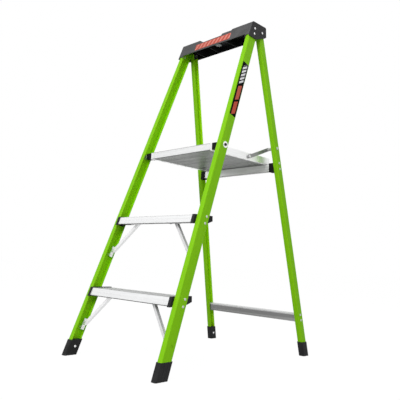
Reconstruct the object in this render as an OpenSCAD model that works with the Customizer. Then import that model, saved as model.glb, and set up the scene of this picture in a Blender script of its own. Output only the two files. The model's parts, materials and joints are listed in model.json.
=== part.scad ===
// Folding platform step ladder: two steps, a folding platform and a tool-tray top cap.
// Millimetres. +X is right, +Y is back and +Z is up as a user sees it from the climbing side.
// The origin is on the floor, at the middle of the footprint.

/* [Front frame] */
// Lean of the front rails, in degrees from upright, seen from the side
front_lean = 19.75; // [19:0.25:20.5]
// Sideways splay of each front rail, in degrees
front_splay = 2.85; // [2.4:0.05:3.1]
// Half the distance between the front rails' centre lines at the floor
front_half_base = 280; // [270:1:295]
// Width of the front rail's channel section, side to side
front_rail_w = 24; // [22:1:27]
// Depth of the front rail's channel section, front to back
front_rail_d = 47; // [44:1:50]

/* [Rear frame] */
// Lean of the rear rails, in degrees from upright, seen from the side
rear_lean = 11.95; // [11.5:0.05:12.5]
// Sideways splay of each rear rail, in degrees
rear_splay = 3.05; // [2.9:0.05:3.3]
// Width of the rear rail's channel section, side to side
rear_rail_w = 25; // [22:1:26]
// Depth of the rear rail's channel section, front to back
rear_rail_d = 33; // [30:1:35]
// Gap between the front and rear rails when the ladder is folded
folded_gap = 4.7; // [4:0.1:8]

/* [Rails] */
// Wall of the glass fibre channels
rail_wall = 3; // [2.5:0.1:3.5]
// Outside corner radius of the channels
rail_corner = 5; // [2:0.5:6]

/* [Steps] */
// Height of the lower step
first_step = 277; // [270:1:290]
// Rise from one step to the next
step_rise = 305; // [298:1:310]
// Height of a step bracket's front edge
step_lip = 37; // [34:1:42]
// How far a step bracket stands in front of the rail's centre line
step_front = 33.5; // [30:0.5:38]
// How far a step bracket reaches behind the rail's centre line
step_rear = 63.5; // [55:0.5:68]
// Thickness of a step bracket between the tread and the rail
bracket_t = 15; // [12:0.5:18]
// Rim of a step bracket around the tread's end
bracket_rim = 2.5; // [2:0.25:3.5]
// Wall of the aluminium treads
tread_wall = 2.2; // [1.8:0.1:3]
// Width of the anti-slip grooves in the treads and the platform
groove_w = 3; // [2:0.5:4]
// Diameter of the structural rivets
rivet_d = 6; // [5:0.5:7]

/* [Knee braces] */
// Drop of a brace's lower rivet below the step's top
brace_drop = 165; // [150:1:175]
// Run of a brace inward along the step from the rail's inner face
brace_run = 118; // [100:1:130]
// How far a brace's top stands in front of the rail's centre line
brace_front = 32; // [26:1:34]
// Width of a brace's channel section
brace_w = 12; // [10:1:15]
// Depth of a brace's channel section
brace_depth = 12; // [9:1:13]
// Thickness of the brace metal
brace_t = 2; // [1.5:0.1:3]

/* [Platform] */
// Height of the platform's top above the floor
platform_z = 887; // [880:1:892]
// Gap between the platform and a front rail's inner face, at the pivot
platform_gap = 34.5; // [33:0.5:38]
// How far the platform reaches over the rear cross-bar
platform_lap = 17.5; // [12:0.5:20]
// Height of the platform's edge
platform_h = 30; // [28:0.5:31]
// How far the platform reaches in front of its pivot
platform_nose = 15; // [14:0.5:16]
// Wall of the planks
plank_wall = 2; // [1.6:0.1:2.2]
// Wall of the platform's side channels
side_wall = 2.3; // [2:0.1:3]
// Diameter of the platform's pivot bolts
bolt_d = 8; // [6:0.5:9]
// Diameter of the washer under a pivot bolt's head
washer_d = 27; // [22:1:30]

/* [Rear bars] */
// Height of the rear cross-bar
crossbar_h = 34; // [28:1:36]
// Depth of the rear cross-bar
crossbar_d = 22; // [18:1:24]
// Height of the lower rear brace above the floor, at its middle
lower_brace_z = 170; // [160:1:175]
// Height of the lower rear brace
lower_brace_h = 36; // [30:1:38]
// Depth of the lower rear brace
lower_brace_d = 18; // [14:1:20]
// Wall of the aluminium bars
bar_wall = 2; // [1.5:0.1:3]

/* [Links] */
// Distance behind the platform's pivot of the pin that a link holds
link_arm = 223; // [219:1:226]
// Height of a link's rear pin above the platform's pivot
link_rise = 50; // [46:1:54]
// Width of a link
link_w = 16; // [13:1:18]
// Thickness of a link
link_t = 4; // [3:0.5:5]
// Diameter of the link pins
link_pin_d = 7; // [6:0.5:8]

/* [Top cap] */
// Height of the top cap's raised ends above the floor
cap_top = 1473; // [1468:1:1478]
// Depth of the saddle in the top
cap_saddle = 20; // [15:1:22]
// Wall of the moulded cap
cap_wall = 3.5; // [3:0.25:4]
// Diameter of the rear rails' hinge pins
hinge_d = 10; // [8:0.5:11]
// Inside diameter of the tool ring in the cap
tool_ring_d = 26; // [20:1:28]
// Diameter of the two small tool holes in the cap
tool_hole_d = 12; // [8:1:14]

/* [Feet] */
// Height of the moulded feet
foot_h = 62; // [50:1:63]
// Front and rear wall of the feet
foot_wall = 3.8; // [3:0.1:4.2]
// Side wall of the feet
foot_side = 2; // [1.5:0.1:3]
// Thickness of the sole under a rail's end
foot_sole = 6; // [4:0.5:8]

/* [Hidden] */
$fn = 48;
running = 0.05;             // radial clearance of a pin that turns
fit = 0.2;                  // clearance of a moulded sleeve on a rail
seat = 0.3;                 // gap between two pieces that rest on each other
hole_gap = 0.1;             // radial clearance of a fixed fastener
reach = 1000;               // larger than half of any cut
head_ratio = 1.7;           // diameter of a rivet head over its shank
groove_h = 0.8;
fiber = "#7cc814";
alu = "#d9dbdc";
dull = "#9a9c9e";
black = "#232425";
grey = "#4b4c4e";

// ---- frame lines -------------------------------------------------------------------
hinge_drop = 37;            // the hinge pins lie this far below the cap's top
hinge_z = cap_top - hinge_drop;
hinge_gap = front_rail_d / 2 + folded_gap + rear_rail_d / 2;
front_tilt = atan(tan(front_lean) * cos(front_splay));
rear_tilt = atan(tan(rear_lean) * cos(rear_splay));
front_foot_y = (front_rail_d / 2 + foot_wall) / cos(front_lean);
rear_foot_y = (rear_rail_d / 2 + foot_wall) / cos(rear_lean);
base_run = hinge_z * (tan(front_lean) + tan(rear_lean)) + hinge_gap / cos(front_lean);
front_y = -(base_run + rear_foot_y - front_foot_y) / 2;
cheek_in = front_rail_w / 2 + fit;
cheek_out = cheek_in + cap_wall;
hinge_side_gap = 0.8;

function fx(z) = front_half_base - z * tan(front_splay);
function fy(z) = front_y + z * tan(front_lean);
function front_plane(z, off) = fx(z) + off / cos(front_splay);
hinge_y = fy(hinge_z) + hinge_gap / cos(front_lean);
hinge_x = front_plane(hinge_z, cheek_in) - hinge_side_gap - rear_rail_w / 2;
function rx(z) = hinge_x + (hinge_z - z) * tan(rear_splay);
function ry(z) = hinge_y + (hinge_z - z) * tan(rear_lean);
function rear_plane(z, off) = rx(z) + off / cos(rear_splay);

rail_end = cap_top - cap_wall - 2;      // the front rails end just under the cap
steps = [first_step, first_step + step_rise];

// Rear cross-bar, under the platform's rear edge
deck_low = platform_z - platform_h;
bar_top = deck_low - seat;
bar_back = 7.5;             // how far the bar stands behind the rear rails' centre line
bar_y = ry(bar_top - crossbar_h / 2) - crossbar_d + bar_back;
bar_cup = 23;
bar_rim = 3.5;

// Platform and linkage
pivot_drop = 12.6;          // the pivot lies this far below the platform's top
pivot_back = 4.1;           // and this far behind the front rails' centre line
pivot_z = platform_z - pivot_drop;
pivot_y = fy(pivot_z) + pivot_back;
side_x = front_plane(pivot_z, -front_rail_w / 2) - platform_gap;
nose_y = pivot_y - platform_nose;
nose_t = 3;
side_end = 9;               // width of a side channel's closed front end
deck_y = nose_y + nose_t;
deck_rear = bar_y + platform_lap;
flange_t = 1.8;
flange_w = 14;
planks = 4;
plank_pitch = (deck_rear - deck_y + seat) / planks;
plank_d = plank_pitch - seat;
plank_low = deck_low + flange_t;
plank_h = platform_h - 2 * flange_t;
plank_top_wall = plank_wall + 0.6;      // thicker, for the grooves
plank_half = side_x - side_wall - seat;
link_pin_y = pivot_y + link_arm;
link_pin_drop = 3.9;        // the front pin lies this far below the pivot
link_pin_z = pivot_z - link_pin_drop;
link_far_z = pivot_z + link_rise;
link_far_ahead = 0.8;       // the rear pin lies this far in front of the rail's centre line
link_far_y = ry(link_far_z) - link_far_ahead;
link_side_gap = 3.2;
link_in = side_x + link_side_gap;
link_out = link_in + link_t;
block_d = 34;
block_h = platform_h - 3;
block_top = platform_z - 1;
block_clear = 0.8;          // gap between a turning pivot block and the rail
block_reach = norm([block_d - platform_nose, block_top - pivot_z]) + 2;
block_x = front_plane(pivot_z + block_reach, -front_rail_w / 2) - block_clear;
boss_d = 22;
boss_x = front_plane(pivot_z + boss_d / 2, -front_rail_w / 2) - seat;

// ---- placing -----------------------------------------------------------------------
module left() mirror([1, 0, 0]) children();
module both() { children(); left() children(); }
module at_front(z) translate([fx(z), fy(z), z]) rotate([-front_tilt, -front_splay, 0]) children();
module at_rear(z) translate([rx(z), ry(z), z]) rotate([rear_tilt, -rear_splay, 0]) children();
module front_slope(z) translate([0, fy(z), z]) rotate([-front_lean, 0, 0]) children();
module rear_slope(z) translate([0, ry(z), z]) rotate([rear_lean, 0, 0]) children();
module level(z0, z1) translate([-reach, -reach, z0]) cube([2 * reach, 2 * reach, z1 - z0]);
module slab(x0, x1) translate([x0, -reach, -reach]) cube([x1 - x0, 2 * reach, 2 * reach]);
module along_x(x0, x1) translate([x0, 0, 0]) rotate([90, 0, 90]) linear_extrude(x1 - x0) children();
module rod(x0, x1, d) translate([x0, 0, 0]) rotate([0, 90, 0]) cylinder(h = x1 - x0, d = d);
module between_fronts(off) {
    intersection() {
        at_front(first_step) slab(-2 * reach, -front_rail_w / 2 - off);
        left() at_front(first_step) slab(-2 * reach, -front_rail_w / 2 - off);
    }
}

// ---- rails -------------------------------------------------------------------------
module rounded(w, d, r) {
    square([w - 2 * r, d], center = true);
    square([w, d - 2 * r], center = true);
    for (x = [-1, 1], y = [-1, 1]) translate([x * (w / 2 - r), y * (d / 2 - r)]) circle(r = r);
}
module channel(w, d, gap) {
    difference() {
        rounded(w + 2 * gap, d + 2 * gap, rail_corner + gap);
        translate([-w, -(d / 2 - rail_wall - gap)])
            square([1.5 * w - rail_wall - gap, d - 2 * (rail_wall + gap)]);
    }
}
module rivet_hole(x0, x1) rod(x0, x1, rivet_d + 2 * hole_gap);

module front_rail() {
    difference() {
        intersection() {
            at_front(0) translate([0, 0, -foot_h]) linear_extrude(1.2 * cap_top)
                channel(front_rail_w, front_rail_d, 0);
            level(foot_sole, rail_end);
        }
        for (z = steps, dz = step_rivets_down)
            at_front(z - dz) translate([0, step_rivet_y, 0]) rivet_hole(0, front_rail_w);
        for (z = steps) at_front(z - brace_drop) translate([0, brace_rivet_y, 0]) {
            rivet_hole(0, front_rail_w);
            flush_cone(hole_gap);
        }
        for (p = cap_rivet_at) at_front(p[1]) translate([0, p[0], 0]) rivet_hole(0, front_rail_w);
        translate([0, pivot_y, pivot_z]) rod(0, reach, bolt_d + 2 * hole_gap);
        at_front(front_foot_rivet_z) translate([0, foot_rivet_y, 0])
            rivet_hole(-front_rail_w, front_rail_w);
    }
}
module rear_rail() {
    difference() {
        intersection() {
            at_rear(hinge_z) translate([0, 0, -1.1 * cap_top]) linear_extrude(1.2 * cap_top)
                channel(rear_rail_w, rear_rail_d, 0);
            union() {
                at_rear(hinge_z) translate([-reach, -reach, -2 * reach]) cube(2 * reach);
                translate([0, hinge_y, hinge_z]) rod(0, reach, rear_rail_d);
            }
            level(foot_sole, cap_top);
        }
        translate([0, hinge_y, hinge_z]) rod(0, reach, hinge_d + 2 * running);
        translate([0, link_far_y, link_far_z]) rod(0, reach, link_pin_d + 2 * hole_gap);
        for (z = bar_rivet_z) at_rear(z) rivet_hole(0, rear_rail_w);
        for (z = brace_end_z) at_rear(z) rivet_hole(0, rear_rail_w);
        at_rear(rear_foot_rivet_z) rivet_hole(-rear_rail_w, rear_rail_w);
    }
}
module front_rail_left() color(fiber) left() front_rail();
module front_rail_right() color(fiber) front_rail();
module rear_rail_left() color(fiber) left() rear_rail();
module rear_rail_right() color(fiber) rear_rail();

// ---- fasteners ---------------------------------------------------------------------
tail_t = 2;                 // thickness of a rivet's formed tail
pin_head_t = 3;             // thickness of a hinge pin's heads
small_head_t = 1.5;         // thickness of the small rivets' heads

// A rivet along +X: its head starts at x0 and stands out, its shank runs inward to x1.
module rivet(x0, x1, d) {
    head = 0.32 * d;
    translate([x0, 0, 0]) rotate([0, 90, 0]) cylinder(h = head, d1 = head_ratio * d, d2 = 1.1 * d);
    rod(x1, x0 + head / 2, d);
}
module flush_cone(gap) {
    flush = rail_wall * 0.6;
    translate([front_rail_w / 2 - flush, 0, 0]) rotate([0, 90, 0])
        cylinder(h = flush, d1 = rivet_d + 2 * gap, d2 = rivet_d + 2 * flush + 2 * gap);
}

// ---- top cap -----------------------------------------------------------------------
cap_front = front_rail_d / 2 + fit;
cap_behind = 32;            // how far the cap reaches behind the hinge pins
cap_back = hinge_y + cap_behind;
cap_edge = 4;               // chamfer along the cap's upper edges
cap_skirt = 77;             // the cheeks reach this far down
cap_apron = 63;             // the front wall between the rails reaches this far down
cap_tail = 46;              // and the rear wall this far
cap_low = 110;              // lower than any part of the cap
rib_t = 2.2;
rib_low = 48;
rib_at = [-150, -55, 55, 150];
ring_wall = 2.5;
cap_rivet_off = [-3, 1.5];  // the cap's rivets stand this far from the rail's centre line
cap_rivet_drop = [33, 58];  // and this far below the cap's top
cap_rivet_at = [for (i = [0, 1]) [cap_rivet_off[i], cap_top - cap_rivet_drop[i]]];
ring_back = 43;             // the tool ring lies this far in front of the hinge pins
ring_y = hinge_y - ring_back;
hole_x = 88;
hole_back = [-44, -9];      // the two tool holes' places from the hinge pins

// Places along X where the top's outline steps: left slope, right lip, right step
saddle_x = [-110, -77];
lip_x = [38, 41];
step_x = [98, 104];
saddle_low = cap_top - cap_saddle;
lip_low = cap_top - 0.9 * cap_saddle;
lip_high = cap_top - 0.45 * cap_saddle;

function cap_front_line(z, i) = fy(z) - (cap_front + cap_wall - i) / cos(front_lean);
// The top's outline seen from the front, drawn in by i
function cap_line(i) = [
    [-reach, cap_top - i], [saddle_x[0] - i / 2, cap_top - i], [saddle_x[1] - i / 2, saddle_low - i],
    [lip_x[0] + i, lip_low - i], [lip_x[1] + i, lip_high - i], [step_x[0] + i, lip_high - i],
    [step_x[1] + i, cap_top - i], [reach, cap_top - i],
    [reach, cap_top - cap_low], [-reach, cap_top - cap_low]];
module cap_side() {
    polygon([[cap_front_line(cap_top - cap_skirt, 0), cap_top - cap_skirt],
        [hinge_y - 1.2 * hinge_drop, cap_top - cap_skirt - cap_edge],
        [hinge_y + 0.6 * hinge_drop, cap_top - 1.45 * hinge_drop],
        [cap_back, cap_top - cap_tail], [cap_back, cap_top - cap_edge], [cap_back - cap_edge, cap_top],
        [cap_front_line(cap_top, 0) + cap_edge, cap_top],
        [cap_front_line(cap_top - cap_edge, 0), cap_top - cap_edge]]);
}
module cap_across(off) {
    intersection() {
        at_front(cap_top) slab(-reach, off);
        left() at_front(cap_top) slab(-reach, off);
    }
}
module cap_outline(i) translate([0, reach, 0]) rotate([90, 0, 0])
    linear_extrude(2 * reach) polygon(cap_line(i));
module cap_under() {
    intersection() {
        along_x(-reach, reach) polygon([
            [cap_front_line(cap_top - cap_low, cap_wall), cap_top - cap_low],
            [cap_back - cap_wall, cap_top - cap_low], [cap_back - cap_wall, cap_top],
            [cap_front_line(cap_top, cap_wall), cap_top]]);
        cap_outline(cap_wall);
        cap_across(cheek_in);
    }
}
module cap_ribs() intersection() {
    cap_under();
    level(cap_top - rib_low, cap_top);
    union() {
        for (x = rib_at) translate([x - rib_t / 2, -reach, 0]) cube([rib_t, 2 * reach, 2 * reach]);
        translate([0, ring_y, 0]) cylinder(h = 2 * reach, d = tool_ring_d + 2 * ring_wall);
    }
}
// The front wall stops above the rails: straight between them and arched over each one
module cap_apron_cut() {
    rail_in = fx(cap_top - cap_apron) - front_rail_w / 2;
    translate([-rail_in, hinge_y - 1.2 * hinge_drop - reach, cap_top - cap_low])
        cube([2 * rail_in, reach, cap_low - cap_apron]);
    both() translate([fx(cap_top - cap_skirt), hinge_y - 1.2 * hinge_drop, cap_top - cap_skirt - 2])
        rotate([90, 0, 0]) cylinder(h = reach, d = front_rail_w);
}
module top_cap() color(grey) {
    difference() {
        union() {
            difference() {
                intersection() {
                    along_x(-reach, reach) cap_side();
                    cap_outline(0);
                    cap_across(cheek_out);
                }
                cap_under();
            }
            cap_ribs();
        }
        translate([0, ring_y, cap_top - cap_low]) cylinder(h = 2 * cap_low, d = tool_ring_d);
        for (dy = hole_back) translate([hole_x, hinge_y + dy, cap_top - cap_low])
            cylinder(h = 2 * cap_low, d = tool_hole_d);
        cap_apron_cut();
        both() for (p = cap_rivet_at) at_front(p[1]) translate([0, p[0], 0])
            rivet_hole(0, 2 * front_rail_w);
        both() translate([0, hinge_y, hinge_z]) rod(hinge_x, reach, hinge_d + 2 * running);
    }
}
module cap_rivets() color(alu) both() for (p = cap_rivet_at)
    at_front(p[1]) translate([0, p[0], 0]) {
        tail = front_rail_w / 2 - rail_wall;
        rivet(cheek_out, tail - tail_t, rivet_d);
        rod(tail - tail_t, tail, 1.5 * rivet_d);
    }
module hinge_pin() {
    tail = hinge_x - rear_rail_w / 2 - block_clear;
    intersection() {
        translate([0, hinge_y, hinge_z])
            rod(hinge_x, front_plane(hinge_z, cheek_out) + pin_head_t, 1.5 * hinge_d);
        at_front(hinge_z) slab(cheek_out, 2 * cheek_out);
    }
    translate([0, hinge_y, hinge_z]) {
        rod(tail - pin_head_t, front_plane(hinge_z, cheek_out) + pin_head_t / 2, hinge_d);
        rod(tail - pin_head_t, tail, 1.5 * hinge_d);
    }
}
module hinge_pin_left() color(alu) left() hinge_pin();
module hinge_pin_right() color(alu) hinge_pin();
// A filler in the rear rail's end, between its flanges, that the hinge pin runs through
module hinge_block() {
    half = rear_rail_d / 2 - rail_wall - fit;
    difference() {
        intersection() {
            at_rear(hinge_z) translate([-rear_rail_w / 2, -half, -half])
                cube([rear_rail_w - rail_wall, 2 * half, 2 * rear_rail_d]);
            union() {
                at_rear(hinge_z) translate([-reach, -reach, -2 * reach]) cube(2 * reach);
                translate([0, hinge_y, hinge_z]) rod(0, reach, rear_rail_d);
            }
        }
        translate([0, hinge_y, hinge_z]) rod(0, reach, hinge_d + 2 * running);
    }
}
module hinge_block_left() color(black) left() hinge_block();
module hinge_block_right() color(black) hinge_block();

// ---- steps -------------------------------------------------------------------------
bracket_web = 4;
step_rivets_down = [6, 32];
step_rivet_y = 8;
step_notch = 27;
boss_over_rivet = 1.7;      // diameter of the bosses that take rivets over a rivet's
pad_t = 3.5;                // thickness of a bracket's pad inside its rail
rivet_grip = 2;             // a rivet's blind end stops this far inside a bracket
groove_pitch = 3 * groove_w;
tread_grooves = floor((step_front + step_rear - groove_pitch) / groove_pitch);

// Outline of a step, front to back and up, drawn in by i on every side
function step_outline(i) = [
    [-step_front - i * tan(front_lean) + i / cos(front_lean), -i],
    [step_rear - i, -i], [step_rear - i, -0.57 * step_lip + i],
    [step_rear - step_notch, -0.84 * step_lip + i],
    [-step_front - (step_lip - i) * tan(front_lean) + i / cos(front_lean), -step_lip + i]];
under_points = [step_outline(bracket_rim)[4], step_outline(bracket_rim)[3]];
under_slope = atan((under_points[1][1] - under_points[0][1]) / (under_points[1][0] - under_points[0][0]));

module at_step(z) translate([0, fy(z), z]) children();
module tread(z) {
    inset = bracket_rim + tread_wall;
    cell = (step_front + step_rear - 2 * inset - 2 * tread_wall) / 3;
    intersection() {
        at_step(z) along_x(-reach, reach) difference() {
            polygon(step_outline(bracket_rim));
            for (i = [0:2]) intersection() {
                polygon(step_outline(inset));
                translate([i == 0 ? -reach : -step_front + inset + i * (cell + tread_wall), -reach])
                    square([i == 0 ? reach - step_front + inset + cell : cell, 2 * reach]);
            }
            for (i = [0:tread_grooves - 1])
                translate([-step_front + groove_pitch * (i + 1), -bracket_rim - groove_h])
                    square([groove_w, 2 * groove_h]);
        }
        between_fronts(bracket_web + seat);
    }
}
module tread_holes(z) for (s = [-1, 1]) brace_foot(z, s) brace_rivet_hole();
module tread_lower() color(alu) difference() { tread(steps[0]); both() tread_holes(steps[0]); }
module tread_upper() color(alu) difference() { tread(steps[1]); both() tread_holes(steps[1]); }

module step_bracket(z) {
    half = front_rail_d / 2 - rail_wall - fit;
    inner = -front_rail_w / 2;
    difference() {
        union() {
            intersection() {
                at_step(z) along_x(0, reach) polygon(step_outline(0));
                union() {
                    at_front(z) slab(inner - bracket_t, inner);
                    at_front(z) translate([inner - 1, -half, -reach]) cube([pad_t, 2 * half, 2 * reach]);
                }
            }
            for (dz = step_rivets_down) at_front(z - dz) translate([0, step_rivet_y, 0])
                rod(inner, front_rail_w / 2 - rail_wall, boss_over_rivet * rivet_d);
        }
        intersection() {
            at_step(z) along_x(0, reach) polygon(step_outline(bracket_rim - fit));
            at_front(z) slab(-2 * reach, inner - bracket_web);
        }
        for (dz = step_rivets_down) at_front(z - dz) translate([0, step_rivet_y, 0])
            rivet_hole(inner + rivet_grip, front_rail_w);
    }
}
module step_bracket_lower_left() color(black) left() step_bracket(steps[0]);
module step_bracket_lower_right() color(black) step_bracket(steps[0]);
module step_bracket_upper_left() color(black) left() step_bracket(steps[1]);
module step_bracket_upper_right() color(black) step_bracket(steps[1]);
module step_rivets() color(alu) both() for (z = steps, dz = step_rivets_down)
    at_front(z - dz) translate([0, step_rivet_y, 0])
        rivet(front_rail_w / 2, -front_rail_w / 2 + rivet_grip + hole_gap, rivet_d);

// ---- knee braces -------------------------------------------------------------------
brace_rivet_y = 4;
brace_rivet_d = 5;
tab_w = 60;                 // length of the tab under a tread
tab_d = 13;
tab_rivet_x = tab_w / 2 - 8;
ear_d = 15;                 // the flat ear on a rail
ear_up = 37;
ear_down = 9;

// Ends of a brace's front web, at the tread and at the rail
function brace_high(z) = [front_plane(z, -front_rail_w / 2) - brace_run,
    fy(z) - brace_front, z - step_lip];
function brace_low(z) = [front_plane(z - brace_drop, -front_rail_w / 2),
    fy(z - brace_drop), z - brace_drop];
brace_seat_y = brace_depth / 2 - brace_front - under_points[0][0];

// Places children on the underside of a tread, s = -1 or 1 along the brace's tab
module under_tread(z) translate([0, fy(z) + under_points[0][0], z + under_points[0][1]])
    rotate([under_slope, 0, 0]) children();
module brace_foot(z, s) under_tread(z)
    translate([brace_high(z)[0] + s * tab_rivet_x, brace_seat_y, 0]) children();
module brace_rivet_hole() cylinder(h = 4 * brace_rivet_d, d = brace_rivet_d + 2 * hole_gap, center = true);

module brace_leg(z) {
    a = brace_high(z) - brace_low(z);
    translate(brace_low(z)) rotate([-atan2(a[1], a[2]), atan2(a[0], norm([a[1], a[2]])), 0])
        translate([-brace_w / 2, 0, -reach]) difference() {
            cube([brace_w, brace_depth, 2 * reach]);
            translate([brace_t, brace_t, -1])
                cube([brace_w - 2 * brace_t, brace_depth, 2 * reach + 2]);
        }
}
module knee_brace(z) {
    inner = -front_rail_w / 2;
    difference() {
        union() {
            intersection() {
                brace_leg(z);
                at_front(z) slab(-reach, inner);
                level(z - brace_drop + 1.3 * rivet_d, z);
                under_tread(z) translate([-reach, -reach, -2 * reach]) cube(2 * reach);
            }
            under_tread(z) translate([brace_high(z)[0] - tab_w / 2, brace_seat_y - tab_d / 2, -brace_t])
                cube([tab_w, tab_d, brace_t]);
            at_front(z - brace_drop) translate([inner - brace_t, brace_rivet_y - 6, -ear_down])
                cube([brace_t, ear_d, ear_up + ear_down]);
        }
        at_front(z - brace_drop) translate([0, brace_rivet_y, 0]) rivet_hole(-front_rail_w, 0);
        for (s = [-1, 1]) brace_foot(z, s) brace_rivet_hole();
    }
}
module knee_brace_lower_left() color(dull) left() knee_brace(steps[0]);
module knee_brace_lower_right() color(dull) knee_brace(steps[0]);
module knee_brace_upper_left() color(dull) left() knee_brace(steps[1]);
module knee_brace_upper_right() color(dull) knee_brace(steps[1]);
module brace_spacers() color(dull) both() for (z = steps)
    at_front(z - brace_drop) translate([0, brace_rivet_y, 0]) difference() {
        rod(-front_rail_w / 2, front_rail_w / 2 - rail_wall, boss_over_rivet * rivet_d);
        rivet_hole(-front_rail_w, front_rail_w);
    }
module brace_rivets() color(alu) both() for (z = steps) {
    at_front(z - brace_drop) translate([0, brace_rivet_y, 0]) {
        rod(-front_rail_w / 2 - brace_t, front_rail_w / 2, rivet_d);
        rod(-front_rail_w / 2 - brace_t - tail_t, -front_rail_w / 2 - brace_t, head_ratio * rivet_d);
        flush_cone(0);
    }
    for (s = [-1, 1]) brace_foot(z, s) translate([0, 0, -brace_t - small_head_t]) {
        cylinder(h = small_head_t, d = head_ratio * brace_rivet_d);
        cylinder(h = small_head_t + brace_t + tread_wall, d = brace_rivet_d);
    }
}

// ---- platform ----------------------------------------------------------------------
plank_cell = (plank_d - 4 * plank_wall) / 3;
plank_grooves = floor(plank_d / groove_pitch);
deck_rivet_x = side_x - 0.6 * flange_w;
deck_rivet_y = [0.17, 0.62];        // along each plank, as shares of its depth
block_grip = 12;                    // thick front part of a pivot block
block_rivets = [[11, -9], [11, 4]]; // behind the pivot and above it

module plank_section() {
    difference() {
        square([plank_d, plank_h]);
        for (i = [0:2]) translate([plank_wall + i * (plank_cell + plank_wall), plank_wall])
            square([plank_cell, plank_h - plank_wall - plank_top_wall]);
        for (i = [0:plank_grooves - 1], y = [-groove_h, plank_h - groove_h])
            translate([groove_pitch * (i + 0.5), y]) square([groove_w, 2 * groove_h]);
    }
}
module deck_rivets_at() for (i = [0:planks - 1], k = deck_rivet_y)
    translate([deck_rivet_x, deck_y + i * plank_pitch + k * plank_d, deck_low]) children();
module deck_rivet_hole() translate([0, 0, -1])
    cylinder(h = plank_h / 2, d = brace_rivet_d + 2 * hole_gap);
module plank(i) {
    difference() {
        translate([0, deck_y + i * plank_pitch, plank_low]) along_x(-plank_half, plank_half) plank_section();
        both() deck_rivets_at() deck_rivet_hole();
    }
}
// The front lip: the first plank carries it between the side channels' closed ends
module nose(x0, x1) {
    round_r = nose_t / 2;
    along_x(x0, x1) translate([nose_y, deck_low]) {
        square([nose_t, platform_h - round_r]);
        translate([round_r, platform_h - round_r]) circle(r = round_r);
    }
}
nose_x = side_x - side_end - seat;
module deck_plank_1() color(alu) { plank(0); nose(-nose_x, nose_x); }
module deck_plank_2() color(alu) plank(1);
module deck_plank_3() color(alu) plank(2);
module deck_plank_4() color(alu) plank(3);

module platform_side() {
    difference() {
        union() {
            translate([side_x - flange_w, deck_y, deck_low]) difference() {
                cube([flange_w, deck_rear - deck_y, platform_h]);
                translate([-side_wall, -1, flange_t])
                    cube([flange_w, deck_rear - deck_y + 2, platform_h - 2 * flange_t]);
            }
            nose(side_x - side_end, side_x);
        }
        translate([0, pivot_y, pivot_z]) rod(0, reach, bolt_d + 2 * running);
        for (p = block_rivets) translate([0, pivot_y + p[0], pivot_z + p[1]])
            rod(0, reach, brace_rivet_d + 2 * hole_gap);
        deck_rivets_at() deck_rivet_hole();
    }
}
module platform_side_left() color(alu) left() platform_side();
module platform_side_right() color(alu) platform_side();
module platform_rivets() color(dull) both() {
    deck_rivets_at() translate([0, 0, -1]) {
        cylinder(h = 1, d = head_ratio * brace_rivet_d);
        cylinder(h = 1 + flange_t + plank_wall, d = brace_rivet_d);
    }
    for (p = block_rivets) translate([0, pivot_y + p[0], pivot_z + p[1]]) {
        rod(side_x - side_wall - 1.2, side_x - side_wall, 1.4 * brace_rivet_d);
        rod(side_x - side_wall - 1.2, side_x + block_grip, brace_rivet_d);
    }
}
module pivot_block() {
    difference() {
        union() {
            translate([side_x, nose_y, block_top - block_h]) difference() {
                cube([block_x - side_x, block_d, block_h]);
                translate([block_grip + bracket_web, 0.75 * block_d, -1])
                    cube([reach, block_d, block_h - bracket_web]);
            }
            translate([0, pivot_y, pivot_z]) rod(side_x, boss_x, boss_d);
        }
        translate([0, pivot_y, pivot_z]) rod(0, reach, bolt_d + 2 * running);
        for (p = block_rivets) translate([0, pivot_y + p[0], pivot_z + p[1]])
            rod(side_x - 1, side_x + block_grip + hole_gap, brace_rivet_d + 2 * hole_gap);
    }
}
module pivot_block_left() color(black) left() pivot_block();
module pivot_block_right() color(black) pivot_block();

washer_t = 2;
bolt_head_t = 3;
washer_x = front_plane(pivot_z, front_rail_w / 2) + washer_t;
nut_t = 6;
nut_x = side_x - side_wall - 0.5;
bolt_over = 1.5;            // the bolt stands this far out of its nut
module pivot_bolt() translate([0, pivot_y, pivot_z]) {
    rod(nut_x - nut_t - bolt_over, washer_x + bolt_head_t / 2, bolt_d);
    rod(washer_x, washer_x + bolt_head_t, 1.5 * bolt_d);
}
module pivot_bolt_left() color(black) left() pivot_bolt();
module pivot_bolt_right() color(black) pivot_bolt();
module pivot_washers() color(alu) both() difference() {
    intersection() {
        translate([0, pivot_y, pivot_z]) rod(side_x, washer_x, washer_d);
        at_front(pivot_z) slab(front_rail_w / 2, 2 * front_rail_w);
    }
    translate([0, pivot_y, pivot_z]) rod(0, reach, bolt_d + 2 * hole_gap);
}
module pivot_nuts() color(dull) both() translate([0, pivot_y, pivot_z]) difference() {
    translate([nut_x - nut_t, 0, 0]) rotate([0, 90, 0]) cylinder(h = nut_t, d = 1.75 * bolt_d, $fn = 6);
    rod(0, reach, bolt_d);
}
module pivot_spacers() color(dull) both() difference() {
    intersection() {
        translate([0, pivot_y, pivot_z]) rod(0, reach, boss_d);
        at_front(pivot_z) slab(-front_rail_w / 2, front_rail_w / 2 - rail_wall);
    }
    translate([0, pivot_y, pivot_z]) rod(0, reach, bolt_d + 2 * hole_gap);
}

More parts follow.
